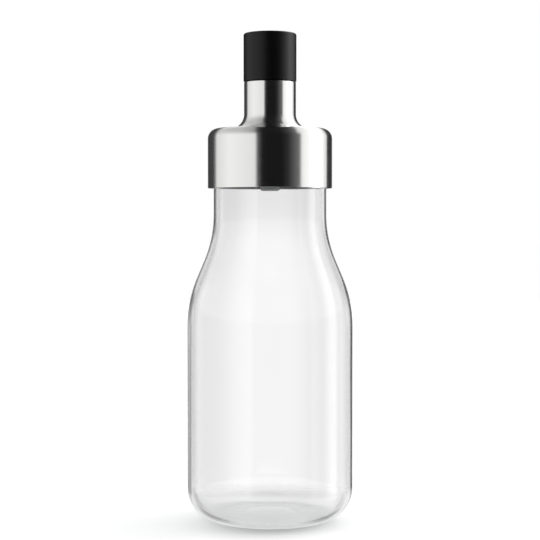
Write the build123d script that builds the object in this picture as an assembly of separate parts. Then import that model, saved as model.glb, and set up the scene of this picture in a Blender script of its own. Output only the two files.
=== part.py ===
from build123d import *
from math import atan2, tan
import os

# Salad dressing shaker: a blown glass bottle, closed by a push-in steel lid with
# a silicone seal, a pouring spout and a screw cap. Millimetres, +Z up, with the
# origin at the centre of the base, on the table top.

# Clearances that the pieces share
fit_gap = 0.05            # pieces that are pressed or seated together
slide_gap = 0.05          # faces that slide or turn on each other
thread_gap = 0.3          # radial play between the two threads
cut_overrun = 1.0         # how far a drill runs past what it cuts

# Glass bottle
bottle_height = 144.5
body_radius = 32.0
neck_radius = 21.75
glass_wall = 1.3
floor_thickness = 1.6
neck_length = 35.6        # from the rim to where the neck would meet the slope
slope_height = 24.3       # from there to where the slope would meet the body
slope_low_radius = 48.0
slope_high_radius = 46.0
base_corner_radius = 12.0
inner_corner_radius = 12.5
punt_radius = 11.8
punt_depth = 0.8
rim_round_share = 0.48    # of the glass wall

# Steel lid shell
steel_wall = 0.6
skirt_clearance = 1.65    # air between the glass neck and the skirt
skirt_height = 22.9
skirt_corner_radius = 3.9
tube_radius = 10.0
tube_height = 17.9
tube_foot_radius = 5.6
steel_round_share = 0.45  # of the steel wall, at its two raw edges

# Silicone neck seal
seal_wall = 1.0
seal_pad_thickness = 1.2
seal_pad_overhang = 0.4
seal_lip_count = 3
seal_lip_reach = 1.2
seal_lip_root = 1.3

# Plastic neck plug
flange_thickness = 4.65
plug_depth = 16.0
plug_wall = 1.6
plug_roof = 2.0
plug_foot_height = 1.4
plug_foot_overhang = 0.7
strainer_rim_wall = 0.9   # plug wall that is left beside the strainer
strainer_recess = 2.0     # from the plug's lower end to the ledge over the strainer

# Pouring spout
spout_wall = 1.6
spout_finish_wall = 1.3
spout_flange_width = 3.2
spout_flange_thickness = 1.8
spout_mouth_chamfer = 1.1
drip_lip_height = 1.4
drip_lip_overhang = 0.2
ring_section_radius = 0.65

# Strainer
strainer_thickness = 1.6
hole_radius = 1.5
inner_hole_share = 0.44   # radius of each ring of holes, of the strainer's radius
outer_hole_share = 0.76
inner_hole_count = 7
outer_hole_count = 13
knob_radius = 3.75
knob_neck_radius = 2.4
knob_drop = 2.6           # how far the knob hangs below the plug
knob_head_height = 2.0
knob_edge_radius = 0.8

# Screw cap
cap_step = 0.2            # how far the cap stands out past the steel tube
cap_lift_gap = 0.3        # between the cap and the steel tube
cap_height = 18.4
cap_edge_radius = 0.8
cap_shell_wall = 0.9
cap_shell_roof = 1.2
cap_core_wall = 0.9
cap_core_roof = 1.3
liner_thickness = 1.2
liner_gap = 0.1           # between the liner and the spout's lip

# Thread of the cap on the spout, right-handed, one start
thread_pitch = 3.5
thread_depth = 0.75
thread_root_width = 1.9
thread_crest_width = 1.1
thread_sink = 0.25        # how far a ridge reaches into the wall that carries it
thread_start_share = 0.243   # of the height of the spout above the steel tube
thread_height_share = 0.473

# Radii, from the glass wall inwards
glass_bore_radius = neck_radius - glass_wall
seal_sleeve_radius = glass_bore_radius - slide_gap - seal_lip_reach
seal_bore_radius = seal_sleeve_radius - seal_wall
plug_radius = seal_bore_radius - fit_gap
plug_bore_radius = plug_radius - plug_wall
strainer_seat_radius = plug_radius - strainer_rim_wall
strainer_radius = strainer_seat_radius - fit_gap

# Radii, from the steel skirt and the steel tube inwards
skirt_bore_radius = neck_radius + skirt_clearance
skirt_radius = skirt_bore_radius + steel_wall
flange_radius = skirt_bore_radius - fit_gap
tube_bore_radius = tube_radius - steel_wall
spout_radius = tube_bore_radius - fit_gap
ring_radius = spout_radius + slide_gap + ring_section_radius
ring_seat_radius = ring_radius + ring_section_radius + slide_gap

# Radii, from the cap inwards
cap_radius = tube_radius + cap_step
cap_shell_bore_radius = cap_radius - cap_shell_wall
core_radius = cap_shell_bore_radius - fit_gap
core_root_radius = core_radius - cap_core_wall
finish_root_radius = core_root_radius - thread_depth - thread_gap
spout_bore_radius = finish_root_radius - spout_finish_wall

# Heights, from the glass rim up to the cap
pad_bottom = bottle_height + slide_gap
pad_top = pad_bottom + seal_pad_thickness
flange_bottom = pad_top + fit_gap
flange_top = flange_bottom + flange_thickness
shoulder_underside = flange_top + fit_gap
lid_top = shoulder_underside + steel_wall
tube_top = lid_top + tube_height
cap_bottom = tube_top + cap_lift_gap
cap_top = cap_bottom + cap_height
core_top = cap_top - cap_shell_roof - fit_gap
liner_top = core_top - cap_core_roof - fit_gap
liner_bottom = liner_top - liner_thickness
spout_top = liner_bottom - liner_gap
finish_height = spout_top - tube_top
thread_bottom = tube_top + finish_height * thread_start_share
thread_turns = finish_height * thread_height_share / thread_pitch

# Heights, from the flange down to the knob
skirt_bottom = lid_top - skirt_height
roof_underside = flange_top - plug_roof
plug_bottom = flange_bottom - plug_depth
seal_bottom = plug_bottom + plug_foot_height + fit_gap
strainer_ledge = plug_bottom + strainer_recess
strainer_top = strainer_ledge - fit_gap
strainer_bottom = strainer_top - strainer_thickness
knob_bottom = plug_bottom - knob_drop


def turned(*edges):
    """A solid of revolution about Z from the edges of its (radius, height) outline."""
    return revolve(Plane.XZ * make_face(Curve() + list(edges)), Axis.Z)


def turned_points(*points):
    """A solid of revolution from the corners of its outline."""
    return turned(Polyline(*points, close=True))


def ridge(root_radius, outward, bottom):
    """A helical thread ridge that stands out from root_radius, or in where outward is -1."""
    slope = (thread_root_width - thread_crest_width) / thread_depth / 2
    foot = root_radius - outward * thread_sink
    crest = root_radius + outward * thread_depth
    foot_half = thread_root_width / 2 + slope * thread_sink
    crest_half = thread_crest_width / 2
    section = make_face(
        Polyline((foot, -foot_half), (crest, -crest_half), (crest, crest_half), (foot, foot_half), close=True)
    )
    path = Helix(thread_pitch, thread_pitch * thread_turns, root_radius)
    thread = sweep(Plane.XZ * section, path=path, is_frenet=True)
    return Pos(0, 0, bottom) * thread


def glass_bottle():
    """Blown in one piece: an even wall, a shallow punt under the floor, a fire-polished rim."""
    bore = body_radius - glass_wall
    slope_top = bottle_height - neck_length
    slope_foot = slope_top - slope_height
    lean = atan2(body_radius - neck_radius, slope_height)
    inner_drop = glass_wall * tan(lean / 2)
    rim_round = glass_wall * rim_round_share
    wall = FilletPolyline(
        (punt_radius, 0),
        (body_radius, 0),
        (body_radius, slope_foot),
        (neck_radius, slope_top),
        (neck_radius, bottle_height),
        (glass_bore_radius, bottle_height),
        (glass_bore_radius, slope_top - inner_drop),
        (bore, slope_foot - inner_drop),
        (bore, floor_thickness),
        (punt_radius, floor_thickness),
        radius=[
            base_corner_radius,
            slope_low_radius,
            slope_high_radius,
            rim_round,
            rim_round,
            slope_high_radius + glass_wall,
            slope_low_radius - glass_wall,
            inner_corner_radius,
        ],
    )
    punt_under = TangentArc((0, punt_depth), (punt_radius, 0), tangent=(1, 0))
    punt_over = TangentArc((0, punt_depth + floor_thickness), (punt_radius, floor_thickness), tangent=(1, 0))
    axis_line = Line((0, punt_depth), (0, punt_depth + floor_thickness))
    return turned(*wall.edges(), punt_under, punt_over, axis_line)


def lid_shell():
    """Drawn from one steel sheet: skirt, flat shoulder and tube."""
    raw_round = steel_wall * steel_round_share
    outline = FilletPolyline(
        (skirt_radius, skirt_bottom),
        (skirt_radius, lid_top),
        (tube_radius, lid_top),
        (tube_radius, tube_top),
        (tube_bore_radius, tube_top),
        (tube_bore_radius, shoulder_underside),
        (skirt_bore_radius, shoulder_underside),
        (skirt_bore_radius, skirt_bottom),
        radius=[
            raw_round,
            skirt_corner_radius,
            tube_foot_radius,
            raw_round,
            raw_round,
            tube_foot_radius + steel_wall,
            skirt_corner_radius - steel_wall,
            raw_round,
        ],
        close=True,
    )
    return turned(*outline.edges())


def neck_seal():
    """Silicone collar: a sleeve on the plug, lips that wipe the bore, a pad on the glass rim."""
    pad_radius = neck_radius + seal_pad_overhang
    collar = turned_points(
        (seal_bore_radius, seal_bottom),
        (seal_sleeve_radius, seal_bottom),
        (seal_sleeve_radius, pad_bottom),
        (pad_radius, pad_bottom),
        (pad_radius, pad_top),
        (seal_bore_radius, pad_top),
    )
    pitch = (pad_bottom - seal_bottom) / (seal_lip_count + 1)
    inside = seal_sleeve_radius - seal_wall / 2
    for number in range(seal_lip_count):
        tip = seal_bottom + pitch * (number + 1)
        collar += turned_points(
            (inside, tip - seal_lip_root),
            (seal_sleeve_radius, tip - seal_lip_root),
            (seal_sleeve_radius + seal_lip_reach, tip),
            (seal_sleeve_radius, tip + seal_lip_root / 2),
            (inside, tip + seal_lip_root / 2),
        )
    return collar


def neck_plug():
    """Moulded carrier: a flange under the steel shoulder and a cup that hangs in the neck."""
    ring_seat_top = roof_underside + ring_section_radius * 2 + slide_gap
    outline = FilletPolyline(
        (tube_bore_radius, flange_top),
        (flange_radius, flange_top),
        (flange_radius, flange_bottom),
        (plug_radius, flange_bottom),
        (plug_radius, plug_bottom + plug_foot_height),
        (plug_radius + plug_foot_overhang, plug_bottom + plug_foot_height),
        (plug_radius, plug_bottom),
        (strainer_seat_radius, plug_bottom),
        (strainer_seat_radius, strainer_ledge),
        (plug_bore_radius, strainer_ledge),
        (plug_bore_radius, roof_underside),
        (ring_seat_radius, roof_underside),
        (ring_seat_radius, ring_seat_top),
        (tube_bore_radius, ring_seat_top),
        radius=[0, skirt_corner_radius - steel_wall, 0, 0, 0, 0, 0, 0, 0, 0, 0, 0, 0, 0],
        close=True,
    )
    return turned(*outline.edges())


def spout_ring():
    """Rubber ring that keeps dressing out of the joint between spout and plug."""
    height = roof_underside - fit_gap + slide_gap + ring_section_radius
    return turned(Pos(ring_radius, height) * Circle(ring_section_radius).edge())


def pour_spout():
    """Moulded tube from the plug's roof to the drip lip, with the cap's thread on its finish."""
    flange_high = roof_underside - fit_gap
    flange_low = flange_high - spout_flange_thickness
    flange_edge = spout_radius + spout_flange_width
    throat_radius = spout_radius - spout_wall
    lip_low = spout_top - drip_lip_height
    tube = turned_points(
        (throat_radius + spout_mouth_chamfer, flange_low),
        (flange_edge, flange_low),
        (flange_edge, flange_high),
        (spout_radius, flange_high),
        (spout_radius, tube_top),
        (finish_root_radius, tube_top),
        (finish_root_radius, lip_low),
        (finish_root_radius + drip_lip_overhang, spout_top),
        (spout_bore_radius + drip_lip_overhang, spout_top),
        (spout_bore_radius, lip_low),
        (spout_bore_radius, tube_top),
        (throat_radius, flange_high),
        (throat_radius, flange_low + spout_mouth_chamfer),
    )
    return tube + ridge(finish_root_radius, 1, thread_bottom)


def strainer():
    """Perforated disc that holds back herbs, pulled out by the knob under it."""
    head_top = knob_bottom + knob_head_height
    outline = FilletPolyline(
        (0, knob_bottom),
        (knob_radius, knob_bottom),
        (knob_radius, head_top),
        (knob_neck_radius, head_top),
        (knob_neck_radius, strainer_bottom),
        (strainer_radius, strainer_bottom),
        (strainer_radius, strainer_top),
        (0, strainer_top),
        radius=[0, knob_edge_radius, 0, 0, 0, 0, 0, 0],
        close=True,
    )
    disc = turned(*outline.edges())
    drill = Cylinder(hole_radius, strainer_thickness + cut_overrun * 2)
    middle = Pos(0, 0, (strainer_top + strainer_bottom) / 2)
    inner_ring = PolarLocations(strainer_radius * inner_hole_share, inner_hole_count)
    outer_ring = PolarLocations(strainer_radius * outer_hole_share, outer_hole_count)
    holes = [middle * place * drill for ring in (inner_ring, outer_ring) for place in ring]
    return disc - holes


def cap_shell():
    """Smooth outer cup of the cap, with a small radius round its top edge."""
    outline = FilletPolyline(
        (0, cap_top),
        (cap_radius, cap_top),
        (cap_radius, cap_bottom),
        (cap_shell_bore_radius, cap_bottom),
        (cap_shell_bore_radius, cap_top - cap_shell_roof),
        (0, cap_top - cap_shell_roof),
        radius=[0, cap_edge_radius, 0, 0, 0, 0],
        close=True,
    )
    return turned(*outline.edges())


def cap_core():
    """Threaded cup that is pressed into the cap's shell."""
    ceiling = core_top - cap_core_roof
    cup = turned_points(
        (0, core_top),
        (core_radius, core_top),
        (core_radius, cap_bottom),
        (core_root_radius, cap_bottom),
        (core_root_radius, ceiling),
        (0, ceiling),
    )
    return cup + ridge(core_root_radius, -1, thread_bottom + thread_pitch / 2)


def cap_liner():
    """Silicone disc in the cap's ceiling that closes on the spout's lip."""
    edge = core_root_radius - fit_gap
    return turned_points((0, liner_bottom), (edge, liner_bottom), (edge, liner_top), (0, liner_top))


pieces = [
    glass_bottle,
    lid_shell,
    neck_seal,
    neck_plug,
    spout_ring,
    pour_spout,
    strainer,
    cap_shell,
    cap_core,
    cap_liner,
]

os.makedirs("parts", exist_ok=True)
for piece in pieces:
    export_step(piece(), f"parts/{piece.__name__}.step")
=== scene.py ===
# %% [markdown]
# A salad dressing shaker: a blown glass bottle, a steel lid pushed into its neck,
# and a black screw cap on the lid's pouring spout. Nearly every piece of it owes
# its shape to turning: the glass spins on the blower's pipe, and the dies for the
# steel and the moulds for the plastic are cut on a lathe. So this lesson builds
# one lathe out of Geometry Nodes and turns the pieces on it from their outlines.

from math import acos, atan2, ceil, cos, pi, radians, sin, tan

import bmesh
import bpy
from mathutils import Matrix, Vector


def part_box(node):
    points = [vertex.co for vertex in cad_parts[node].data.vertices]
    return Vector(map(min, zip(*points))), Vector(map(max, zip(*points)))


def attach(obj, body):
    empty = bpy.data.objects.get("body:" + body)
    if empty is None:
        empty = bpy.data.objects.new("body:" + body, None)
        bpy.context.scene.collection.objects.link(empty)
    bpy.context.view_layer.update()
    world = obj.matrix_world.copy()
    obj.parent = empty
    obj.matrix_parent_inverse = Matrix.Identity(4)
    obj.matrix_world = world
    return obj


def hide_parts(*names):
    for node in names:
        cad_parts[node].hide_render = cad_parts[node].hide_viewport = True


MM = 0.001
ML = 1e-6

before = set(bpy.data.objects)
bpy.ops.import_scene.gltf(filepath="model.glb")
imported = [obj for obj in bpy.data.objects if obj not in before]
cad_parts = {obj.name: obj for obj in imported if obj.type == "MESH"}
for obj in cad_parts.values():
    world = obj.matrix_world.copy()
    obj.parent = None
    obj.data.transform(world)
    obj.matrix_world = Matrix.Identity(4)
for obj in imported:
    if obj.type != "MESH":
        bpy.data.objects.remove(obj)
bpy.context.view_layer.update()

# %% [markdown]
# The photographer stood the camera a little over half a metre from the bottle,
# level with its neck, and used a long lens so that the sides stay parallel. The
# camera here looks at the bottle's middle from the same height, which is a tilt
# of two degrees down and needs no lens shift.

# %% The camera
CAMERA_DISTANCE = 0.573
EYE_HEIGHT = 0.1167
LOOK_HEIGHT = 0.0966
LENS = 98.7
SENSOR = 36


def add_camera():
    """A camera on the -Y side that looks at the bottle's axis."""
    data = bpy.data.cameras.new("camera")
    data.lens = LENS
    data.sensor_width = SENSOR
    camera = bpy.data.objects.new("camera", data)
    bpy.context.scene.collection.objects.link(camera)
    camera.location = (0, -CAMERA_DISTANCE, EYE_HEIGHT)
    aim = Vector((0, 0, LOOK_HEIGHT)) - camera.location
    camera.rotation_euler = aim.to_track_quat("-Z", "Y").to_euler()
    bpy.context.scene.camera = camera
    return camera


camera = add_camera()
bpy.context.scene.view_settings.view_transform = "Standard"
print("camera at", [round(v, 4) for v in camera.location])

# %% [markdown]
# Colours are written as the hex values that a screen shows. Blender computes
# with linear light, so one function converts them. A second one adds a node
# with its settings and links, and serves shaders and Geometry Nodes alike.

# %% Colour and node helpers
def colour(hex_value):
    """An sRGB hex value such as "C8C8C6" as linear red, green, blue and alpha."""
    parts = [int(hex_value[at:at + 2], 16) / 255 for at in (0, 2, 4)]
    return [p / 12.92 if p <= 0.04045 else ((p + 0.055) / 1.055) ** 2.4 for p in parts] + [1]


def add_node(tree, kind, inputs=None, **settings):
    """A node with its settings. Each input gets a value, a socket or another node's first output."""
    node = tree.nodes.new(kind)
    for name, value in settings.items():
        setattr(node, name, value)
    for key, value in (inputs or {}).items():
        source = value.outputs[0] if isinstance(value, bpy.types.Node) else value
        if isinstance(source, bpy.types.NodeSocket):
            tree.links.new(source, node.inputs[key])
        else:
            node.inputs[key].default_value = source
    return node


def set_stops(ramp, stops):
    """Give a colour ramp its stops, each a place from 0 to 1 and a colour or a grey level."""
    band = ramp.color_ramp
    while len(band.elements) > 1:
        band.elements.remove(band.elements[-1])
    for number, (place, shade) in enumerate(stops):
        element = band.elements[0] if number == 0 else band.elements.new(place)
        element.position = place
        element.color = shade if isinstance(shade, list) else (shade, shade, shade, 1)


def start_material(name):
    """An empty material and its node tree."""
    material = bpy.data.materials.new(name)
    material.use_nodes = True
    material.node_tree.nodes.clear()
    return material, material.node_tree


print("C8C8C6 is", [round(part, 3) for part in colour("C8C8C6")])

# %% [markdown]
# A photograph of glass and steel is mostly a picture of the studio. A white
# backdrop stands behind the bottle and a large soft light on each side, while
# the side of the camera is left dark. Both lights and the dark gap between them
# run on overhead, a little dimmer, so the gap is a straight band on the steel up
# to its shoulder. The world below holds the room as levels of light by bearing.

# %% The studio room
BRIGHTEST = 5.0
ROOM = [
    (-180, 0.2), (-168, 0.2), (-156, 0.06), (-128, 0.08), (-121, 0.35), (-115, 1.12), (-80, 1.4),
    (-26.5, 1.22), (-23.5, 0.14), (-18, 0.08), (-15, 0.014), (22, 0.014), (34, 0.04), (56, 0.24),
    (61, 1.4), (78, 1.6), (86, 3.2), (92, 4.6), (101, 4.6), (108, 1.9), (117, 1.4), (127, 1.1),
    (131, 0.06), (156, 0.04), (168, 0.35), (180, 0.2),
]
HIGH_ROOM = [
    (-180, 0.2), (-168, 0.2), (-156, 0.06), (-118, 0.06), (-108, 0.7), (-60, 0.8), (-32, 0.55),
    (-24, 0.1), (-15, 0.014), (20, 0.02), (34, 0.07), (48, 0.2), (55, 1.2), (78, 1.6), (92, 3.6),
    (101, 3.6), (110, 1.6), (118, 1.5), (124, 0.06), (156, 0.06), (168, 0.35), (180, 0.2),
]
HIGH_FROM = radians(12)
HIGH_FULL = radians(60)


def by_bearing(tree, share, levels):
    """Light by bearing: 0 is the camera's side, 90 its right hand and 180 straight behind."""
    ramp = add_node(tree, "ShaderNodeValToRGB", {"Fac": share})
    set_stops(ramp, [((bearing + 180) / 360, level / BRIGHTEST) for bearing, level in levels])
    return add_node(tree, "ShaderNodeMath", {0: ramp, 1: BRIGHTEST}, operation="MULTIPLY")


def room_light(tree, axis, share):
    """The level of the room as steel and glass mirror it."""
    overhead = add_node(tree, "ShaderNodeMapRange", {
        "Value": axis["Z"], "From Min": sin(HIGH_FROM), "From Max": sin(HIGH_FULL),
    }, interpolation_type="SMOOTHSTEP")
    return add_node(tree, "ShaderNodeMix", {
        0: overhead, 2: by_bearing(tree, share, ROOM), 3: by_bearing(tree, share, HIGH_ROOM),
    })


print("levels in the room", len(ROOM), "and overhead", len(HIGH_ROOM))

# %% [markdown]
# The glass wall also mirrors inside itself. Close to the bottle's edge all light
# is turned back there, from far behind and to the side, where the room is dim.
# That draws the thin grey line that shows where clear glass ends. At eye level a
# dark gap between table and backdrop makes the line darker still. The backdrop
# itself reaches into the wall only from above and from straight behind.

# %% The light inside the glass wall
WALL_ROOM = [
    (-180, 0.56), (-160, 0.65), (-155, 0.6), (-150, 0.38), (-146, 0.42), (-139, 0.95), (-125, 0.5),
    (-115, 0.3), (-60, 0.2), (60, 0.2), (110, 0.25), (126, 0.7), (136, 1.0), (147, 1.1), (152, 0.6),
    (157, 0.12), (163, 0.02), (174, 0.04), (180, 0.3),
]
WALL_GAP = [
    (-180, 0.0), (-164, 0.03), (-156, 0.27), (-149, 0.55), (-141, 1.05), (-128, 0.5), (-110, 0.2),
    (110, 0.2), (128, 0.6), (140, 1.35), (150, 0.95), (155, 0.5), (160, 0.08), (180, 0.0),
]
GAP_HALF = radians(0.8)
GAP_END = radians(4.5)
RISE_FROM = radians(3)
RISE_FULL = radians(6)
BACK_HALF = radians(3)
BACK_END = radians(7)
SIDE_LEVEL = 0.87


def wall_light(tree, axis, share):
    """The level of light that comes round inside the wall, by its bearing and its height."""
    off_level = add_node(tree, "ShaderNodeMath", {0: axis["Z"]}, operation="ABSOLUTE")
    past_gap = add_node(tree, "ShaderNodeMapRange", {
        "Value": off_level, "From Min": sin(GAP_HALF), "From Max": sin(GAP_END),
    }, interpolation_type="SMOOTHSTEP")
    around = add_node(tree, "ShaderNodeMix", {
        0: past_gap, 2: by_bearing(tree, share, WALL_GAP), 3: by_bearing(tree, share, WALL_ROOM),
    })
    rising = add_node(tree, "ShaderNodeMapRange", {
        "Value": axis["Z"], "From Min": sin(RISE_FROM), "From Max": sin(RISE_FULL),
    }, interpolation_type="SMOOTHSTEP")
    aside = add_node(tree, "ShaderNodeMath", {0: axis["X"]}, operation="ABSOLUTE")
    straight = add_node(tree, "ShaderNodeMapRange", {
        "Value": aside, "From Min": sin(BACK_HALF), "From Max": sin(BACK_END),
        "To Min": 1.0, "To Max": 0.0,
    }, interpolation_type="SMOOTHSTEP")
    backwards = add_node(tree, "ShaderNodeMath", {0: axis["Y"], 1: 0.0}, operation="GREATER_THAN")
    straight_back = add_node(tree, "ShaderNodeMath", {0: straight, 1: backwards}, operation="MULTIPLY")
    open_back = add_node(tree, "ShaderNodeMath", {0: rising, 1: straight_back}, operation="MAXIMUM")
    return add_node(tree, "ShaderNodeMix", {0: open_back, 2: around, 3: SIDE_LEVEL})


print("levels inside the wall", len(WALL_ROOM), "and at eye level", len(WALL_GAP))

# %% [markdown]
# Straight through the glass the camera sees the backdrop. It is brightest right
# behind the bottle, falls off a little beside that and above eye level, and is
# white again far out, which gives clear glass its soft inner shading. Beside the
# bottle it is overexposed, so the camera itself sees plain white. The Light Path
# node tells these apart.

# %% The backdrop through the glass
HOT_LEVEL = 1.03
HIGH_SHARE = 0.86
HOT_FROM = radians(1)
HOT_END = radians(4)
FAR_FROM = radians(10)
FAR_FULL = radians(15)
LOW_END = radians(-1.6)
HIGH_START = radians(1)


def backdrop_light(tree, axis):
    """The level of the backdrop as the camera sees it through the glass."""
    aside = add_node(tree, "ShaderNodeMath", {0: axis["X"]}, operation="ABSOLUTE")
    hot = add_node(tree, "ShaderNodeMapRange", {
        "Value": aside, "From Min": sin(HOT_FROM), "From Max": sin(HOT_END),
        "To Min": HOT_LEVEL, "To Max": SIDE_LEVEL,
    }, interpolation_type="SMOOTHSTEP")
    beyond = add_node(tree, "ShaderNodeMapRange", {
        "Value": aside, "From Min": sin(FAR_FROM), "From Max": sin(FAR_FULL),
        "To Min": 0.0, "To Max": 1.0 - SIDE_LEVEL,
    }, interpolation_type="SMOOTHSTEP")
    high = add_node(tree, "ShaderNodeMapRange", {
        "Value": axis["Z"], "From Min": sin(LOW_END), "From Max": sin(HIGH_START),
        "To Min": 1.0, "To Max": HIGH_SHARE,
    }, interpolation_type="SMOOTHSTEP")
    level = add_node(tree, "ShaderNodeMath", {0: hot, 1: beyond}, operation="ADD")
    return add_node(tree, "ShaderNodeMath", {0: level, 1: high}, operation="MULTIPLY")


# %% [markdown]
# The world puts the three together. Its bearing is worked out so that a lamp's
# upright edge stays upright on round steel, however the steel leans: a mirror
# that faces halfway between the camera and a lamp shows the lamp. How many times
# a ray was mirrored and let through tells which of the three lights it meets.

# %% The world
# A ray's depths are whole numbers, so more than a half is once or more.
ANY = 0.5


def ray_tests(tree, ray):
    """Whether a ray was mirrored, and whether it was mirrored and went through glass too, as 0 or 1."""
    mirrored = add_node(tree, "ShaderNodeMath", {0: ray["Glossy Depth"], 1: ANY}, operation="GREATER_THAN")
    entered = add_node(
        tree, "ShaderNodeMath", {0: ray["Transmission Depth"], 1: ANY}, operation="GREATER_THAN"
    )
    return mirrored, add_node(tree, "ShaderNodeMath", {0: mirrored, 1: entered}, operation="MULTIPLY")


def add_world():
    """White where it is seen, and a dark room with two soft lights where it is mirrored or lights."""
    world = bpy.data.worlds.new("studio")
    bpy.context.scene.world = world
    world.use_nodes = True
    tree = world.node_tree
    tree.nodes.clear()
    place = add_node(tree, "ShaderNodeTexCoord")
    axis = add_node(tree, "ShaderNodeSeparateXYZ", {0: place.outputs["Generated"]}).outputs
    ahead = add_node(tree, "ShaderNodeMath", {0: 1.0, 1: axis["Y"]}, operation="SUBTRACT")
    half_turn = add_node(tree, "ShaderNodeMath", {0: axis["X"], 1: ahead}, operation="ARCTAN2")
    share = add_node(tree, "ShaderNodeMath", {0: half_turn, 1: 1 / pi, 2: 0.5}, operation="MULTIPLY_ADD")
    ray = add_node(tree, "ShaderNodeLightPath").outputs
    mirrored, in_wall = ray_tests(tree, ray)
    straight = add_node(tree, "ShaderNodeMath", {0: 1.0, 1: mirrored}, operation="SUBTRACT")
    through = add_node(
        tree, "ShaderNodeMath", {0: ray["Is Transmission Ray"], 1: straight}, operation="MULTIPLY"
    )
    lit = add_node(tree, "ShaderNodeMix", {
        0: in_wall, 2: room_light(tree, axis, share), 3: wall_light(tree, axis, share),
    })
    glazed = add_node(tree, "ShaderNodeMix", {0: through, 2: lit, 3: backdrop_light(tree, axis)})
    level = add_node(tree, "ShaderNodeMix", {0: ray["Is Camera Ray"], 2: glazed, 3: 1.0})
    light = add_node(tree, "ShaderNodeBackground", {"Color": (1, 1, 1, 1), "Strength": level})
    add_node(tree, "ShaderNodeOutputWorld", {"Surface": light})
    return world


world = add_world()
print("world nodes", len(world.node_tree.nodes))

# %% [markdown]
# The bottle stands on a sheet of white acrylic. It scatters light evenly, and
# its polish mirrors the bottle's edges faintly. Lit alone it would come out a
# little darker than the backdrop, so it glows with painted light, but only for
# rays that look at it. That painted glow stands for the backdrop's light. Right
# at the bottle's foot and a little to the front it is turned down, which paints
# the bottle's shadow on the sheet. Seen through the glass or in a mirror, it is
# painted brighter under the bottle than behind it.

# %% The floor's acrylic
FLOOR_GLOSS = 0.05
POLISH_BLUR = 0.08
FLOOR_LIFT = 0.58
# Painted glow for rays that see the sheet through the glass or in a mirror: stronger under the bottle, weaker
# behind it.
UNDER_LIFT = 0.45
BEHIND_LIFT = 0.1
UNDER_EDGE = 0.02
BEHIND_EDGE = 0.05
# A painted shadow: the glow that the camera sees is turned down round this point, a little in front of the
# bottle's foot.
SHADE_CENTRE = (0, -0.015, 0)
SHADE_NEAR = 0.005
SHADE_FAR = 0.04
SHADE_SHARE = 0.5


def floor_glow(tree, place, away, ray):
    """The painted glow that stands for the backdrop's light on the sheet, turned down at the bottle's foot as
    a painted shadow, for rays that look at it straight, mirrored or bent.
    """
    painted_bent_glow = add_node(tree, "ShaderNodeMapRange", {
        "Value": away, "From Min": UNDER_EDGE, "From Max": BEHIND_EDGE,
        "To Min": UNDER_LIFT, "To Max": BEHIND_LIFT,
    }, interpolation_type="SMOOTHSTEP")
    bent = add_node(
        tree, "ShaderNodeMath", {0: ray["Is Glossy Ray"], 1: ray["Is Transmission Ray"]}, operation="MAXIMUM"
    )
    bent_lift = add_node(tree, "ShaderNodeMath", {0: bent, 1: painted_bent_glow}, operation="MULTIPLY")
    apart = add_node(tree, "ShaderNodeVectorMath", {0: place, 1: SHADE_CENTRE}, operation="DISTANCE")
    lift_with_painted_shadow = add_node(tree, "ShaderNodeMapRange", {
        "Value": apart.outputs["Value"], "From Min": SHADE_NEAR, "From Max": SHADE_FAR,
        "To Min": SHADE_SHARE * FLOOR_LIFT, "To Max": FLOOR_LIFT,
    }, interpolation_type="SMOOTHSTEP")
    return add_node(tree, "ShaderNodeMath", {
        0: ray["Is Camera Ray"], 1: lift_with_painted_shadow, 2: bent_lift,
    }, operation="MULTIPLY_ADD")


# %% [markdown]
# Rays that were mirrored or bent pass the sheet further out and meet the world
# instead, which holds the levels of the studio there. So do rays that come round
# inside the glass wall and leave it to the sides: the room is dark there down to
# the table's edge, and that carries the wall's grey line round the base corner.

# %% The floor
FLOOR_HALF = 1.5
FLOOR_DROP = 0.0001
NEAR_FLOOR = 0.035
FAR_FLOOR = 0.08
BESIDE_FROM = 0.01
BESIDE_FULL = 0.024


def floor_opening(tree, place, away, ray):
    """How far a ray passes the sheet, from 0 to 1."""
    mirrored, in_wall = ray_tests(tree, ray)
    bent = add_node(
        tree, "ShaderNodeMath", {0: mirrored, 1: ray["Is Transmission Ray"]}, operation="MAXIMUM"
    )
    far = add_node(tree, "ShaderNodeMapRange", {
        "Value": away, "From Min": NEAR_FLOOR, "From Max": FAR_FLOOR,
    }, interpolation_type="SMOOTHSTEP")
    bent_far = add_node(tree, "ShaderNodeMath", {0: bent, 1: far}, operation="MULTIPLY")
    axis = add_node(tree, "ShaderNodeSeparateXYZ", {0: place})
    aside = add_node(tree, "ShaderNodeMath", {0: axis.outputs["X"]}, operation="ABSOLUTE")
    beside = add_node(tree, "ShaderNodeMapRange", {
        "Value": aside, "From Min": BESIDE_FROM, "From Max": BESIDE_FULL,
    }, interpolation_type="SMOOTHSTEP")
    round_corner = add_node(tree, "ShaderNodeMath", {0: in_wall, 1: beside}, operation="MULTIPLY")
    return add_node(tree, "ShaderNodeMath", {0: bent_far, 1: round_corner}, operation="MAXIMUM")


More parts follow.
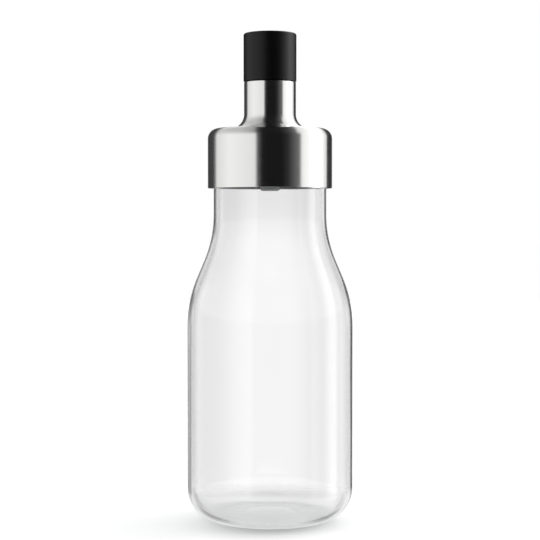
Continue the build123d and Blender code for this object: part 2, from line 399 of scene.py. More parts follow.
def floor_material():
    """White cast acrylic, polished: a diffuse white with a faint, nearly sharp mirror image, and a painted
    glow with a painted shadow at the bottle's foot.
    """
    material, tree = start_material("white_acrylic_sheet")
    white = add_node(tree, "ShaderNodeBsdfDiffuse", {"Color": colour("F2F2F2")})
    polish = add_node(tree, "ShaderNodeBsdfGlossy", {"Color": colour("FFFFFF"), "Roughness": POLISH_BLUR})
    sheet = add_node(tree, "ShaderNodeMixShader", {0: FLOOR_GLOSS, 1: white, 2: polish})
    place = add_node(tree, "ShaderNodeTexCoord").outputs["Object"]
    away = add_node(tree, "ShaderNodeVectorMath", {0: place}, operation="LENGTH").outputs["Value"]
    ray = add_node(tree, "ShaderNodeLightPath").outputs
    lift = floor_glow(tree, place, away, ray)
    glow = add_node(tree, "ShaderNodeEmission", {"Color": (1, 1, 1, 1), "Strength": lift})
    lit = add_node(tree, "ShaderNodeAddShader", {0: sheet, 1: glow})
    unseen = add_node(tree, "ShaderNodeBsdfTransparent")
    passed = floor_opening(tree, place, away, ray)
    whole = add_node(tree, "ShaderNodeMixShader", {0: passed, 1: lit, 2: unseen})
    add_node(tree, "ShaderNodeOutputMaterial", {"Surface": whole})
    return material


def add_floor():
    """A large square sheet, a tenth of a millimetre below the glass so that the two don't coincide."""
    mesh = bpy.data.meshes.new("floor")
    corners = [(x * FLOOR_HALF, y * FLOOR_HALF, -FLOOR_DROP) for x, y in ((-1, -1), (1, -1), (1, 1), (-1, 1))]
    mesh.from_pydata(corners, [], [(0, 1, 2, 3)])
    mesh.materials.append(floor_material())
    floor = bpy.data.objects.new("floor", mesh)
    bpy.context.scene.collection.objects.link(floor)
    return floor


floor = add_floor()
print("floor", floor.dimensions[:])

# %% [markdown]
# A turner works from an outline: half of the piece's section, to one side of its
# axis. An outline here is a list of corners, each with its distance from the
# axis, its height and, where it is rounded, its radius. This function puts an arc
# at each rounded corner. Beside each arc it sets one more point, so that smooth
# shading stays flat on the straight stretch next to it.

# %% Outlines with rounded corners
ARC_STEP = radians(7)
FINEST_STEP = radians(0.8)
LEAST_STEPS = 2
LONG_STEP = 1.2 * MM
HOLD = 0.12 * MM


def rounded(corners):
    """The points of an outline in metres from corners of (distance, height, radius) in millimetres."""
    count = len(corners)
    places = [Vector((corner[0] * MM, corner[1] * MM)) for corner in corners]
    points = []
    for number, corner in enumerate(corners):
        here = places[number]
        bend = corner[2] * MM if len(corner) > 2 else 0
        if not bend:
            points.append(here)
            continue
        back = (places[number - 1] - here).normalized()
        ahead = (places[(number + 1) % count] - here).normalized()
        half = acos(max(-1, min(1, back.dot(ahead)))) / 2
        reach = bend / tan(half)
        start = here + back * reach
        centre = here + (back + ahead).normalized() * (bend / sin(half))
        sweep = pi - 2 * half
        turn = 1 if back.x * ahead.y - back.y * ahead.x < 0 else -1
        steps = max(LEAST_STEPS, ceil(sweep / min(ARC_STEP, max(LONG_STEP / bend, FINEST_STEP))))
        spoke = start - centre
        points.append(start + back * HOLD)
        for step in range(steps + 1):
            angle = turn * sweep * step / steps
            points.append(
                centre
                + Vector((
                    spoke.x * cos(angle) - spoke.y * sin(angle),
                    spoke.x * sin(angle) + spoke.y * cos(angle),
                ))
            )
        points.append(here + ahead * (reach + HOLD))
    return points


# %% [markdown]
# Now the lathe itself. Geometry Nodes take the outline as a loop of edges, turn
# it into a curve and sweep it round a circle. The circle's radius is a millimetre,
# and the outline is shifted by as much, so that a point on the axis stays on the
# axis. Merging by distance closes the poles, and edges with a crease stay sharp.
# The tree's inputs are what a turner sets: fineness, crease and finish.

# %% The lathe
SWEEP_RADIUS = 1.0 * MM
SEGMENTS = 256
CREASE = radians(24)
WELD = 0.001 * MM


def start_tree(name, *sizes):
    """A tree with geometry, its sizes, a crease and a finish going in, and geometry coming out."""
    tree = bpy.data.node_groups.new(name, "GeometryNodeTree")
    for label, kind in (("Geometry", "Geometry"), *sizes, ("Crease", "Float"), ("Finish", "Material")):
        tree.interface.new_socket(label, in_out="INPUT", socket_type="NodeSocket" + kind)
    tree.interface.new_socket("Geometry", in_out="OUTPUT", socket_type="NodeSocketGeometry")
    return tree, tree.nodes.new("NodeGroupInput").outputs


def finish_tree(tree, shape, given):
    """End a tree: smooth shading but for creased edges, real geometry, and its finish."""
    smooth = add_node(tree, "GeometryNodeSetShadeSmooth", {"Geometry": shape}, domain="FACE")
    bend = add_node(tree, "GeometryNodeInputMeshEdgeAngle")
    sharp = add_node(tree, "FunctionNodeCompare", {
        0: bend, 1: given["Crease"],
    }, data_type="FLOAT", operation="GREATER_THAN")
    shaded = add_node(tree, "GeometryNodeSetShadeSmooth", {
        "Geometry": smooth, "Selection": sharp, "Shade Smooth": False,
    }, domain="EDGE")
    real = add_node(tree, "GeometryNodeRealizeInstances", {"Geometry": shaded})
    finished = add_node(tree, "GeometryNodeSetMaterial", {"Geometry": real, "Material": given["Finish"]})
    add_node(tree, "NodeGroupOutput", {"Geometry": finished})


def lathe_tree():
    """The node tree that turns an outline in the XZ plane round the Z axis."""
    tree, given = start_tree("lathe", ("Segments", "Int"))
    outline = add_node(tree, "GeometryNodeMeshToCurve", {"Mesh": given["Geometry"]})
    circle = add_node(
        tree, "GeometryNodeCurvePrimitiveCircle", {"Resolution": given["Segments"], "Radius": SWEEP_RADIUS}
    )
    upright = add_node(tree, "GeometryNodeSetCurveNormal", {"Curve": circle}, mode="Z_UP")
    turned = add_node(tree, "GeometryNodeCurveToMesh", {"Curve": upright, "Profile Curve": outline})
    closed = add_node(tree, "GeometryNodeMergeByDistance", {"Geometry": turned, "Distance": WELD})
    finish_tree(tree, closed, given)
    return tree


LATHE = lathe_tree()
print("lathe tree of", len(LATHE.nodes), "nodes")

# %% [markdown]
# A tree works inside a modifier, and a finished piece is better off without one.
# So a blank takes the outline and the modifier, the result is copied from it as a
# plain mesh, and the blank is thrown away. Each piece then rides on the body that
# it moves with and stands for the plain solid that it dresses.

# %% From an outline to a piece
def set_inputs(modifier, values):
    """Set a modifier's inputs by the identifiers of the tree's named sockets."""
    for item in modifier.node_group.interface.items_tree:
        if item.item_type == "SOCKET" and item.in_out == "INPUT" and item.name in values:
            modifier[item.identifier] = values[item.name]


def outward(mesh):
    """Drop the loose edges left on the axis, and turn a mesh right side out if its volume is negative."""
    work = bmesh.new()
    work.from_mesh(mesh)
    bmesh.ops.delete(work, geom=[edge for edge in work.edges if edge.is_wire], context="EDGES")
    volume = work.calc_volume(signed=True)
    if volume < 0:
        bmesh.ops.reverse_faces(work, faces=work.faces)
    work.to_mesh(mesh)
    open_edges = sum(not edge.is_manifold for edge in work.edges)
    work.free()
    return abs(volume), open_edges


def grow(name, points, tree, values):
    """Put a loop of points, or a single point, through a node tree and return the plain piece."""
    count = len(points)
    loop = [(number, (number + 1) % count) for number in range(count)] if count > 1 else []
    chain = bpy.data.meshes.new(name + "_outline")
    chain.from_pydata(points, loop, [])
    blank = bpy.data.objects.new(name + "_blank", chain)
    bpy.context.scene.collection.objects.link(blank)
    nodes = blank.modifiers.new(name, "NODES")
    nodes.node_group = tree
    set_inputs(nodes, values)
    graph = bpy.context.evaluated_depsgraph_get()
    mesh = bpy.data.meshes.new_from_object(blank.evaluated_get(graph))
    mesh.name = name
    bpy.data.objects.remove(blank)
    volume, open_edges = outward(mesh)
    piece = bpy.data.objects.new(name, mesh)
    bpy.context.scene.collection.objects.link(piece)
    print(
        name, len(mesh.polygons), "faces,", round(volume / ML, 2), "ml,", open_edges, "open edges, from",
        round(min(v.co.z for v in mesh.vertices) / MM, 2), "to",
        round(max(v.co.z for v in mesh.vertices) / MM, 2), "mm",
    )
    return piece


def turn_piece(name, outline, finish, segments=SEGMENTS):
    """Turn an outline on the lathe and return the finished, closed piece."""
    points = [(point.x - SWEEP_RADIUS, -point.y, 0) for point in outline]
    return grow(name, points, LATHE, {"Segments": segments, "Crease": CREASE, "Finish": finish})


def merge(piece, extra):
    """Make two pieces of one finish into one."""
    work = bmesh.new()
    work.from_mesh(piece.data)
    work.from_mesh(extra.data)
    work.to_mesh(piece.data)
    work.free()
    bpy.data.objects.remove(extra)
    return piece


def seat(piece, body, slot, *nodes):
    """Let a piece ride on a body and stand for the frame's own nodes. The slot is not used."""
    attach(piece, body)
    if nodes:
        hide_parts(*nodes)


# %% [markdown]
# A finish is read from far away as colour and gloss, and from close by as the
# marks of how it was made. Most patterns here are noise in the object's own
# coordinates, scaled by a real size, so that they look the same on every piece.

# %% Patterns
def grain(tree, size, detail=2.0, roughness=0.5):
    """Even noise whose grains are that many millimetres across."""
    place = add_node(tree, "ShaderNodeTexCoord")
    return add_node(tree, "ShaderNodeTexNoise", {
        "Vector": place.outputs["Object"], "Scale": 1 / (size * MM), "Detail": detail,
        "Roughness": roughness,
    })


# Noise stays near one half, so a range of tones or gloss is spread between these two levels of it.
GRAIN_LOW = 0.3
GRAIN_HIGH = 0.7

# %% [markdown]
# The bottle is borosilicate glass, blown in a mould and fire-polished at the
# rim. It is clear and perfectly smooth, so its look is all refraction: the wall
# is modelled with both its faces, and the shader knows the glass's index. Blowing
# leaves the wall a little uneven, as waves a few centimetres long. Light on its
# way to the floor goes straight through, or the bottle would shade it like stone,
# and so does a ray that was mirrored four times, or it would end up black.

# %% Borosilicate glass
WAVE_LENGTH = 26
WAVE_HEIGHT = 0.06
WAVE_DETAIL = 1.0
GLASS_INDEX = 1.473
TRAPPED_AFTER = 3.5


def blown_borosilicate_glass():
    """Clear and smooth, with long shallow waves from blowing: bent reflections, dark edges."""
    material, tree = start_material("blown_borosilicate_glass")
    swell = grain(tree, WAVE_LENGTH, detail=WAVE_DETAIL)
    waves = add_node(tree, "ShaderNodeBump", {"Height": swell, "Distance": WAVE_HEIGHT * MM})
    glass = add_node(tree, "ShaderNodeBsdfPrincipled", {
        "Base Color": colour("FFFFFF"), "Roughness": 0.0, "IOR": GLASS_INDEX, "Transmission Weight": 1.0,
        "Normal": waves,
    })
    ray = add_node(tree, "ShaderNodeLightPath").outputs
    lighting = add_node(
        tree, "ShaderNodeMath", {0: ray["Is Shadow Ray"], 1: ray["Is Diffuse Ray"]}, operation="MAXIMUM"
    )
    shade = add_node(
        tree, "ShaderNodeMix", {0: lighting, 6: colour("FFFFFF"), 7: colour("CDD0D0")}, data_type="RGBA"
    )
    clear = add_node(tree, "ShaderNodeBsdfTransparent", {"Color": shade.outputs[2]})
    trapped = add_node(
        tree, "ShaderNodeMath", {0: ray["Glossy Depth"], 1: TRAPPED_AFTER}, operation="GREATER_THAN"
    )
    passing = add_node(tree, "ShaderNodeMath", {0: lighting, 1: trapped}, operation="MAXIMUM")
    body = add_node(tree, "ShaderNodeMixShader", {0: passing, 1: glass, 2: clear})
    add_node(tree, "ShaderNodeOutputMaterial", {"Surface": body})
    return material


GLASS = blown_borosilicate_glass()
print(GLASS.name)

# %% [markdown]
# The lid is drawn from stainless steel sheet and polished while it spins, so the
# polish leaves fine rings round the axis. Rings scatter light across themselves:
# upright edges of a reflection stay crisp and level ones blur. The shader's
# anisotropy does that, with its tangent round Z and turned by a quarter.

# %% Drawn stainless steel
RING_SPACING = 0.3
RING_LENGTH = 9.0
RING_DEPTH = 0.004
RING_STRENGTH = 0.3
RING_DETAIL = 2.0
RING_ROUGHNESS = 0.6
STEEL_GLOSS = (0.13, 0.2)
STRETCH = 0.6
QUARTER_TURN = 0.25


def drawn_stainless_steel():
    """A grey mirror with crisp upright edges. Its rings are drawn coarser than real ones to show."""
    material, tree = start_material("drawn_stainless_steel")
    place = add_node(tree, "ShaderNodeTexCoord")
    axis = add_node(tree, "ShaderNodeSeparateXYZ", {0: place.outputs["Object"]})
    level = add_node(tree, "ShaderNodeCombineXYZ", {"X": axis.outputs["X"], "Y": axis.outputs["Y"]})
    radius = add_node(tree, "ShaderNodeVectorMath", {0: level}, operation="LENGTH")
    along = add_node(
        tree, "ShaderNodeVectorMath", {0: level, "Scale": RING_SPACING / RING_LENGTH}, operation="SCALE"
    )
    slow = add_node(tree, "ShaderNodeSeparateXYZ", {0: along})
    ring = add_node(tree, "ShaderNodeCombineXYZ", {
        "X": radius.outputs["Value"], "Y": axis.outputs["Z"], "Z": slow.outputs["X"],
    })
    rings = add_node(tree, "ShaderNodeTexNoise", {
        "Vector": ring, "W": slow.outputs["Y"], "Scale": 1 / (RING_SPACING * MM),
        "Detail": RING_DETAIL, "Roughness": RING_ROUGHNESS,
    }, noise_dimensions="4D")
    gloss = add_node(tree, "ShaderNodeMapRange", {
        "Value": rings, "From Min": GRAIN_LOW, "From Max": GRAIN_HIGH,
        "To Min": STEEL_GLOSS[0], "To Max": STEEL_GLOSS[1],
    })
    relief = add_node(
        tree, "ShaderNodeBump", {"Height": rings, "Distance": RING_DEPTH * MM, "Strength": RING_STRENGTH}
    )
    tangent = add_node(tree, "ShaderNodeTangent", direction_type="RADIAL", axis="Z")
    steel = add_node(tree, "ShaderNodeBsdfPrincipled", {
        "Base Color": colour("CDCDCC"), "Metallic": 1.0, "Roughness": gloss, "Anisotropic": STRETCH,
        "Anisotropic Rotation": QUARTER_TURN, "Tangent": tangent, "Normal": relief,
    })
    add_node(tree, "ShaderNodeOutputMaterial", {"Surface": steel})
    return material


STEEL = drawn_stainless_steel()
print(STEEL.name)

# %% [markdown]
# The cap is black ABS from a mould whose face was spark-eroded, so it has a fine
# even grain and no gloss. The plug, spout and strainer are polypropylene, a
# little softer in tone. The seals are silicone rubber, the dullest of them. One
# function makes them all, from two close tones, a grain and a range of gloss.

# %% Moulded plastics and rubber
PLASTIC_INDEX = 1.5
GRAIN_STRENGTH = 0.6
DARK_STOP = 0.35
LIGHT_STOP = 0.65


def moulded(name, tones, size, depth, gloss, shine=0.5):
    """A moulded plastic or rubber: two tones, the grain's size and depth in mm, a roughness and a shine."""
    material, tree = start_material(name)
    fine = grain(tree, size)
    tone = add_node(tree, "ShaderNodeValToRGB", {"Fac": fine})
    set_stops(tone, [(DARK_STOP, colour(tones[0])), (LIGHT_STOP, colour(tones[1]))])
    dullness = add_node(tree, "ShaderNodeMapRange", {
        "Value": fine, "From Min": GRAIN_LOW, "From Max": GRAIN_HIGH,
        "To Min": gloss[0], "To Max": gloss[1],
    })
    relief = add_node(
        tree, "ShaderNodeBump", {"Height": fine, "Distance": depth * MM, "Strength": GRAIN_STRENGTH}
    )
    body = add_node(tree, "ShaderNodeBsdfPrincipled", {
        "Base Color": tone, "Roughness": dullness, "IOR": PLASTIC_INDEX, "Specular IOR Level": shine,
        "Normal": relief,
    })
    add_node(tree, "ShaderNodeOutputMaterial", {"Surface": body})
    return material


# The cap's real grain is about a tenth of a millimetre wide. It is drawn coarser, or it wouldn't show.
CAP_ABS = moulded(
    "spark_eroded_black_abs", ("050506", "0A0A0B"), size=0.35, depth=0.02, gloss=(0.36, 0.46), shine=0.22
)
# Black right through, with the soft sheen of an unpolished mould: the plug and the spout.
BLACK_PP = moulded(
    "moulded_black_polypropylene", ("121213", "1E1E1F"), size=0.8, depth=0.01, gloss=(0.3, 0.42)
)
# The same plastic from a polished mould, whose small highlights are sharp: the strainer.
GLOSS_PP = moulded(
    "polished_black_polypropylene", ("0C0C0D", "141415"), size=2.0, depth=0.004, gloss=(0.05, 0.1), shine=0.4
)
# Dull and a little greyer, as rubber is: the seals and the cap's liner.
SILICONE = moulded("moulded_black_silicone", ("171717", "222222"), size=0.5, depth=0.01, gloss=(0.55, 0.7))
print([made.name for made in (CAP_ABS, BLACK_PP, GLOSS_PP, SILICONE)])

# %% [markdown]
# The bottle's outline runs from the middle of its underside, out over the
# shallow punt, up the outside, over the fire-polished rim and down the inside.
# Its size comes from the frame. The shoulder is an S of two large arcs, one
# bulging and one hollow, and the inner wall follows it at an even thickness.

# %% The glass bottle
def extent(node):
    """The radius, lowest height and highest height of one of the frame's nodes, in millimetres."""
    low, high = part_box(node)
    return high.x / MM, low.z / MM, high.z / MM


def dome(rim, low, rise, steps=12):
    """A shallow dome from the axis almost to its rim, as points in metres."""
    sphere = (rim ** 2 + rise ** 2) / (2 * rise)
    radii = [rim * step / steps for step in range(steps)]
    return [Vector((r * MM, (low + rise - sphere + (sphere ** 2 - r ** 2) ** 0.5) * MM)) for r in radii]


BODY, GROUND, RIM = extent("glass_bottle")
NECK = 21.75
WALL = 1.3
GLASS_FLOOR = 1.6
NECK_LENGTH = 35.6
SLOPE_HEIGHT = 24.3
NECK_FOOT = RIM - NECK_LENGTH
SLOPE_FOOT = NECK_FOOT - SLOPE_HEIGHT
LOWER_BEND = 48
UPPER_BEND = 46
BASE_CORNER = 12
PUNT = 11.8
PUNT_RISE = 0.8
RIM_ROUND_SHARE = 0.48
RIM_ROUND = WALL * RIM_ROUND_SHARE


def glass_outline():
    """Half of the bottle's section."""
    lean = atan2(BODY - NECK, NECK_FOOT - SLOPE_FOOT)
    drop = WALL * tan(lean / 2)
    inner_ground = GROUND + GLASS_FLOOR
    wall = rounded([
        (PUNT, GROUND),
        (BODY, GROUND, BASE_CORNER),
        (BODY, SLOPE_FOOT, LOWER_BEND),
        (NECK, NECK_FOOT, UPPER_BEND),
        (NECK, RIM, RIM_ROUND),
        (NECK - WALL, RIM, RIM_ROUND),
        (NECK - WALL, NECK_FOOT - drop, UPPER_BEND + WALL),
        (BODY - WALL, SLOPE_FOOT - drop, LOWER_BEND - WALL),
        (BODY - WALL, inner_ground, BASE_CORNER - WALL),
        (PUNT, inner_ground),
    ])
    return dome(PUNT, GROUND, PUNT_RISE) + wall + dome(PUNT, inner_ground, PUNT_RISE)[::-1]


bottle = turn_piece("blown_bottle", glass_outline(), GLASS)
seat(bottle, "bottle", "glass", "glass_bottle")

# %% [markdown]
# The steel lid starts as a flat disc. Deep drawing gives it the skirt, a second
# draw the tube, and trimming leaves two raw edges that are rounded off. The
# outline is one strip of sheet, 0.6 mm thick, bent twice.

# %% The steel lid
SHEET = 0.6
SKIRT, SKIRT_LOW, TUBE_TOP = extent("lid_shell")
LID_HEIGHT = 22.9
LID_TOP = SKIRT_LOW + LID_HEIGHT
TUBE = 10.0
SKIRT_BEND = 3.9
TUBE_BEND = 5.6
RAW_EDGE_SHARE = 0.45
RAW_EDGE = SHEET * RAW_EDGE_SHARE

lid = turn_piece(
    "drawn_lid",
    rounded([
        (SKIRT, SKIRT_LOW, RAW_EDGE),
        (SKIRT, LID_TOP, SKIRT_BEND),
        (TUBE, LID_TOP, TUBE_BEND),
        (TUBE, TUBE_TOP, RAW_EDGE),
        (TUBE - SHEET, TUBE_TOP, RAW_EDGE),
        (TUBE - SHEET, LID_TOP - SHEET, TUBE_BEND + SHEET),
        (SKIRT - SHEET, LID_TOP - SHEET, SKIRT_BEND - SHEET),
        (SKIRT - SHEET, SKIRT_LOW, RAW_EDGE),
    ]),
    STEEL,
)
seat(lid, "lid", "steel", "lid_shell")

# %% [markdown]
# The cap is a plain black cup. What makes it look moulded and not cut is the
# small radius round its top and the broken edge at its mouth.

# %% The cap
CAP, CAP_LOW, CAP_TOP = extent("cap_shell")
CAP_WALL = 0.9
CAP_ROOF = 1.2
CAP_EDGE = 0.8
BROKEN_EDGE = 0.15

cap = turn_piece(
    "moulded_cap",
    rounded([
        (0, CAP_TOP),
        (CAP, CAP_TOP, CAP_EDGE),
        (CAP, CAP_LOW, BROKEN_EDGE),
        (CAP - CAP_WALL, CAP_LOW, BROKEN_EDGE),
        (CAP - CAP_WALL, CAP_TOP - CAP_ROOF, BROKEN_EDGE),
        (0, CAP_TOP - CAP_ROOF),
    ]),
    CAP_ABS,
)
seat(cap, "cap", "cap_black", "cap_shell")

# %% [markdown]
# Under the steel, one black moulding carries everything. Its flange fills the
# skirt, its cup hangs in the neck, a foot at its lower end holds the seal up, and
# a ledge inside the foot stops the strainer. All of that is one turned outline.

# %% The neck plug
PLAY = 0.05
PLUG_EDGE = 0.25
LIP_REACH = 1.2
SEAL_WALL = 1.0
PLUG_WALL = 1.6
PLUG_ROOF = 2.0
STRAINER_DEPTH = 2.0
STRAINER_RIM = 0.9
FOOT_HEIGHT = 1.4
FOOT_REACH = 0.7
RING_SECTION = 0.65

FLANGE, PLUG_LOW, PLUG_TOP = extent("neck_plug")
SEAL_PAD, SEAL_LOW, SEAL_TOP = extent("neck_seal")
RING, RING_LOW, RING_TOP = extent("spout_ring")
SLEEVE = NECK - WALL - PLAY - LIP_REACH
PLUG = SLEEVE - SEAL_WALL - PLAY
PLUG_BORE = PLUG - PLUG_WALL
STRAINER_SEAT = PLUG - STRAINER_RIM
LEDGE = PLUG_LOW + STRAINER_DEPTH
ROOF = PLUG_TOP - PLUG_ROOF

plug = turn_piece(
    "moulded_plug",
    rounded([
        (TUBE - SHEET, PLUG_TOP),
        (FLANGE, PLUG_TOP, SKIRT_BEND - SHEET),
        (FLANGE, SEAL_TOP + PLAY, PLUG_EDGE),
        (PLUG, SEAL_TOP + PLAY),
        (PLUG, PLUG_LOW + FOOT_HEIGHT),
        (PLUG + FOOT_REACH, PLUG_LOW + FOOT_HEIGHT, PLUG_EDGE / 2),
        (PLUG, PLUG_LOW, PLUG_EDGE),
        (STRAINER_SEAT, PLUG_LOW, PLUG_EDGE),
        (STRAINER_SEAT, LEDGE),
        (PLUG_BORE, LEDGE, PLUG_EDGE),
        (PLUG_BORE, ROOF, PLUG_WALL),
        (RING + PLAY, ROOF),
        (RING + PLAY, RING_TOP),
        (TUBE - SHEET, RING_TOP),
    ]),
    BLACK_PP,
)
seat(plug, "lid", "plug_black", "neck_plug")

# %% [markdown]
# The seal is what makes the lid hold and not drip: a sleeve round the plug, three
# lips that wipe the neck, and a pad that lies on the glass rim. A lip has to bend,
# so it thins out to a rounded tip. The three are one loop over their heights.

# %% The neck seal
LIP_COUNT = 3
LIP_ROOT = 1.3
LIP_TIP = 0.15
PAD_LOW = RIM + PLAY
PAD_EDGE = 0.3
LIP_PITCH = (PAD_LOW - SEAL_LOW) / (LIP_COUNT + 1)

lips = []
for number in range(LIP_COUNT):
    tip = SEAL_LOW + LIP_PITCH * (number + 1)
    lips += [(SLEEVE, tip - LIP_ROOT), (SLEEVE + LIP_REACH, tip, LIP_TIP), (SLEEVE, tip + LIP_ROOT / 2)]
seal = turn_piece(
    "moulded_neck_seal",
    rounded([
        (PLUG + PLAY, SEAL_LOW),
        (SLEEVE, SEAL_LOW, PAD_EDGE),
        *lips,
        (SLEEVE, PAD_LOW),
        (SEAL_PAD, PAD_LOW, PAD_EDGE),
        (SEAL_PAD, SEAL_TOP, PAD_EDGE),
        (PLUG + PLAY, SEAL_TOP),
    ]),
    SILICONE,
)
seat(seal, "seal", "silicone", "neck_seal")

# %% [markdown]
# A rubber ring keeps the dressing out of the joint between plug and spout, and a
# flat disc in the cap's ceiling closes the spout. Both are plain turned shapes.
# The ring's outline is a circle, so a formula gives its points.

# %% The spout's ring and the cap's liner
RING_STEPS = 24
SMALL_SEGMENTS = 128
LINER_EDGE = 0.2

ring_middle = Vector((RING - RING_SECTION, (RING_LOW + RING_TOP) / 2))
ring_outline = [
    (ring_middle + RING_SECTION * Vector((cos(angle), sin(angle)))) * MM
    for angle in (2 * pi * step / RING_STEPS for step in range(RING_STEPS))
]
spout_ring = turn_piece("moulded_spout_ring", ring_outline, SILICONE, segments=SMALL_SEGMENTS)
seat(spout_ring, "lid", "silicone", "spout_ring")

LINER, LINER_LOW, LINER_TOP = extent("cap_liner")
liner = turn_piece(
    "cut_liner",
    rounded([
        (0, LINER_LOW), (LINER, LINER_LOW, LINER_EDGE), (LINER, LINER_TOP, LINER_EDGE), (0, LINER_TOP),
    ]),
    SILICONE,
    segments=SMALL_SEGMENTS,
)
seat(liner, "liner", "silicone", "cap_liner")

# %% [markdown]
# The cap screws on by a thread of one start and two turns. A moulded thread isn't
# cut into the wall but stands on it as a ridge, wide at its root and narrow at
# its crest, and it fades in and out at its ends so that the cap finds its way.
# That is a spiral with a section swept along it, which Geometry Nodes do: the
# section is the modifier's own mesh, and the sweep's scale makes the ends thin.

# %% The thread's tree
THREAD_PITCH = 3.5
THREAD_DEPTH = 0.75
THREAD_ROOT = 1.9
THREAD_CREST = 1.1
THREAD_SINK = 0.25
THREAD_GAP = 0.3
STEPS_PER_TURN = 96
FADE_TURNS = 0.07
FADED_SHARE = 0.3


def thread_tree():
    """The node tree that sweeps a section along a right-handed spiral round Z."""
    tree, given = start_tree(
        "thread", ("Root Radius", "Float"), ("Height", "Float"), ("Turns", "Float"),
        ("Resolution", "Int"), ("Start", "Vector"), ("Fade", "Float"),
    )
    spiral = add_node(tree, "GeometryNodeCurveSpiral", {
        "Resolution": given["Resolution"], "Rotations": given["Turns"], "Height": given["Height"],
        "Start Radius": given["Root Radius"], "End Radius": given["Root Radius"], "Reverse": True,
    })
    upright = add_node(tree, "GeometryNodeSetCurveNormal", {"Curve": spiral}, mode="Z_UP")
    along = add_node(tree, "GeometryNodeSplineParameter")
    left = add_node(tree, "ShaderNodeMath", {0: 1.0, 1: along}, operation="SUBTRACT")
    nearest = add_node(tree, "ShaderNodeMath", {0: along, 1: left}, operation="MINIMUM")
    size = add_node(tree, "ShaderNodeMapRange", {
        "Value": nearest, "From Max": given["Fade"], "To Min": FADED_SHARE, "To Max": 1.0,
    }, interpolation_type="SMOOTHSTEP")
    section = add_node(tree, "GeometryNodeMeshToCurve", {"Mesh": given["Geometry"]})
    swept = add_node(tree, "GeometryNodeCurveToMesh", {
        "Curve": upright, "Profile Curve": section, "Scale": size, "Fill Caps": True,
    })
    placed = add_node(tree, "GeometryNodeTransform", {"Geometry": swept, "Translation": given["Start"]})
    finish_tree(tree, placed, given)
    return tree


THREAD = thread_tree()
print("thread tree of", len(THREAD.nodes), "nodes")

# %% [markdown]
# The ridge's section has four corners. Its foot is sunk a little into the wall,
# so that no gap opens between the two where the wall's round is a polygon.

# %% A ridge on a wall
def add_thread(name, root, outward_way, bottom, turns, finish):
    """A ridge on a wall of that radius in millimetres, standing out (1) or in (-1)."""
    slope = (THREAD_ROOT - THREAD_CREST) / THREAD_DEPTH / 2
    half_foot = THREAD_ROOT / 2 + slope * THREAD_SINK
    half_crest = THREAD_CREST / 2
    section = [
        (-THREAD_SINK, -half_foot),
        (THREAD_DEPTH, -half_crest),
        (THREAD_DEPTH, half_crest),
        (-THREAD_SINK, half_foot),
    ]
    points = [(outward_way * out * MM, high * MM, 0) for out, high in section]
    return grow(name, points, THREAD, {
        "Root Radius": root * MM, "Height": turns * THREAD_PITCH * MM, "Turns": turns,
        "Resolution": STEPS_PER_TURN, "Start": (0, 0, bottom * MM), "Fade": FADE_TURNS / turns,
        "Crease": CREASE, "Finish": finish,
    })


# %% [markdown]
# The spout is the tube that the dressing runs through. It starts with a flange
# under the plug's roof, fills the steel tube, and ends above it in a narrower
# finish with the thread and a drip lip, which cuts the last drop off.

# %% The pouring spout
SPOUT_WALL = 1.6
FINISH_WALL = 1.3
SPOUT_FLANGE = 1.8
MOUTH_CHAMFER = 1.1
LIP_HEIGHT = 1.4
LIP_OVERHANG = 0.2
SPOUT_EDGE = 0.3
CORE_WALL = 0.9
THREAD_START_SHARE = 0.243
THREAD_HEIGHT_SHARE = 0.473

SPOUT_FOOT, SPOUT_LOW, SPOUT_TOP = extent("pour_spout")
CORE, CORE_LOW, CORE_TOP = extent("cap_core")
CORE_ROOT = CORE - CORE_WALL
FINISH = CORE_ROOT - THREAD_DEPTH - THREAD_GAP
SPOUT = TUBE - SHEET - PLAY
THROAT = SPOUT - SPOUT_WALL
SPOUT_BORE = FINISH - FINISH_WALL
THREAD_LOW = TUBE_TOP + (SPOUT_TOP - TUBE_TOP) * THREAD_START_SHARE
THREAD_TURNS = (SPOUT_TOP - TUBE_TOP) * THREAD_HEIGHT_SHARE / THREAD_PITCH

spout_wall = turn_piece(
    "moulded_spout",
    rounded([
        (THROAT + MOUTH_CHAMFER, SPOUT_LOW),
        (SPOUT_FOOT, SPOUT_LOW, SPOUT_EDGE),
        (SPOUT_FOOT, SPOUT_LOW + SPOUT_FLANGE, SPOUT_EDGE),
        (SPOUT, SPOUT_LOW + SPOUT_FLANGE),
        (SPOUT, TUBE_TOP, SPOUT_EDGE),
        (FINISH, TUBE_TOP),
        (FINISH, SPOUT_TOP - LIP_HEIGHT),
        (FINISH + LIP_OVERHANG, SPOUT_TOP, SPOUT_EDGE),
        (SPOUT_BORE + LIP_OVERHANG, SPOUT_TOP, SPOUT_EDGE),
        (SPOUT_BORE, SPOUT_TOP - LIP_HEIGHT),
        (SPOUT_BORE, TUBE_TOP),
        (THROAT, SPOUT_LOW + SPOUT_FLANGE),
        (THROAT, SPOUT_LOW + MOUTH_CHAMFER),
    ]),
    BLACK_PP,
)
spout_thread = add_thread("spout_thread", FINISH, 1, THREAD_LOW, THREAD_TURNS, BLACK_PP)
spout = merge(spout_wall, spout_thread)
seat(spout, "lid", "spout_black", "pour_spout")

# %% [markdown]
# The cap is two cups, one pressed into the other: the outer one carries the
# finish, the inner one the thread. Its ridge stands inwards, half a pitch above
# the spout's, so that the two run in each other's gaps.

# %% The cap's core
CORE_ROOF = 1.3
CORE_EDGE = 0.2

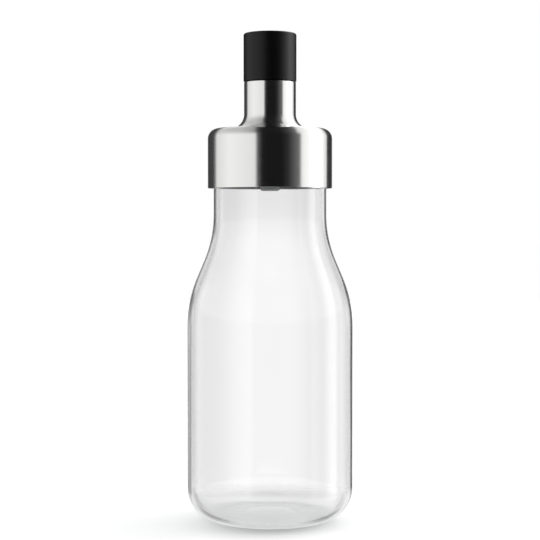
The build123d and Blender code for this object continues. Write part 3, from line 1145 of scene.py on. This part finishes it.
core_cup = turn_piece(
    "moulded_core",
    rounded([
        (0, CORE_TOP),
        (CORE, CORE_TOP, CORE_EDGE),
        (CORE, CORE_LOW, CORE_EDGE),
        (CORE_ROOT, CORE_LOW, CORE_EDGE),
        (CORE_ROOT, CORE_TOP - CORE_ROOF),
        (0, CORE_TOP - CORE_ROOF),
    ]),
    BLACK_PP,
)
core_thread = add_thread("core_thread", CORE_ROOT, -1, THREAD_LOW + THREAD_PITCH / 2, THREAD_TURNS, BLACK_PP)
core = merge(core_cup, core_thread)
seat(core, "cap", "spout_black", "cap_core")

# %% [markdown]
# The strainer keeps herbs and seeds out of the spout. It is a thin disc with two
# rings of holes, so its tree places one circle on the points of a larger one,
# twice, fills what lies between them and gives that its thickness. A small knob
# hangs under it: it is all that shows of the inside below the steel skirt.

# %% The strainer's tree
HOLE = 1.5
INNER_SHARE = 0.44
OUTER_SHARE = 0.76
INNER_HOLES = 7
OUTER_HOLES = 13
HOLE_STEPS = 32
DISC_THICKNESS = 1.6


def strainer_tree():
    """The node tree of a round disc, perforated by two rings of holes."""
    tree, given = start_tree(
        "perforated_disc", ("Radius", "Float"), ("Hole Radius", "Float"), ("Inner Ring", "Float"),
        ("Inner Holes", "Int"), ("Outer Ring", "Float"), ("Outer Holes", "Int"),
        ("Thickness", "Float"), ("Start", "Vector"),
    )
    rim = add_node(
        tree, "GeometryNodeCurvePrimitiveCircle", {"Resolution": SEGMENTS, "Radius": given["Radius"]}
    )
    hole = add_node(
        tree, "GeometryNodeCurvePrimitiveCircle", {"Resolution": HOLE_STEPS, "Radius": given["Hole Radius"]}
    )
    curves = add_node(tree, "GeometryNodeJoinGeometry", {"Geometry": rim})
    for radius, count in (("Inner Ring", "Inner Holes"), ("Outer Ring", "Outer Holes")):
        places = add_node(
            tree, "GeometryNodeMeshCircle", {"Vertices": given[count], "Radius": given[radius]}
        )
        holes = add_node(tree, "GeometryNodeInstanceOnPoints", {"Points": places, "Instance": hole})
        loose = add_node(tree, "GeometryNodeRealizeInstances", {"Geometry": holes})
        tree.links.new(loose.outputs["Geometry"], curves.inputs["Geometry"])
    sheet = add_node(tree, "GeometryNodeFillCurve", {"Curve": curves}, mode="TRIANGLES")
    down = add_node(tree, "ShaderNodeMath", {0: given["Thickness"], 1: -1.0}, operation="MULTIPLY")
    away = add_node(tree, "ShaderNodeCombineXYZ", {"Z": down})
    walls = add_node(tree, "GeometryNodeExtrudeMesh", {
        "Mesh": sheet, "Offset": away, "Offset Scale": 1.0, "Individual": False,
    })
    turned = add_node(tree, "GeometryNodeFlipFaces", {"Mesh": walls})
    both = add_node(tree, "GeometryNodeJoinGeometry", {"Geometry": turned})
    tree.links.new(sheet.outputs["Mesh"], both.inputs["Geometry"])
    closed = add_node(tree, "GeometryNodeMergeByDistance", {"Geometry": both, "Distance": WELD})
    placed = add_node(tree, "GeometryNodeTransform", {"Geometry": closed, "Translation": given["Start"]})
    finish_tree(tree, placed, given)
    return tree


STRAINER_TREE = strainer_tree()
print("strainer tree of", len(STRAINER_TREE.nodes), "nodes")

# %% [markdown]
# The tree starts from a single point, because its circles are made inside it. The
# knob is turned on the lathe as the other pieces are, and joined to the disc.

# %% The strainer
KNOB = 3.75
KNOB_NECK = 2.4
KNOB_HEAD = 2.0
KNOB_EDGE = 0.8
KNOB_RIM = 0.25
KNOB_SEGMENTS = 96

STRAINER, KNOB_LOW, DISC_TOP = extent("strainer")
DISC_LOW = DISC_TOP - DISC_THICKNESS
disc = grow("perforated_disc", [(0, 0, 0)], STRAINER_TREE, {
    "Radius": STRAINER * MM, "Hole Radius": HOLE * MM, "Inner Ring": STRAINER * INNER_SHARE * MM,
    "Inner Holes": INNER_HOLES, "Outer Ring": STRAINER * OUTER_SHARE * MM, "Outer Holes": OUTER_HOLES,
    "Thickness": DISC_THICKNESS * MM, "Start": (0, 0, DISC_TOP * MM), "Crease": CREASE, "Finish": GLOSS_PP,
})
knob = turn_piece(
    "strainer_knob",
    rounded([
        (0, KNOB_LOW),
        (KNOB, KNOB_LOW, KNOB_EDGE),
        (KNOB, KNOB_LOW + KNOB_HEAD, KNOB_RIM),
        (KNOB_NECK, KNOB_LOW + KNOB_HEAD),
        (KNOB_NECK, DISC_LOW + PLAY),
        (0, DISC_LOW + PLAY),
    ]),
    GLOSS_PP,
    segments=KNOB_SEGMENTS,
)
strainer = merge(disc, knob)
seat(strainer, "strainer", "strainer_dark", "strainer")
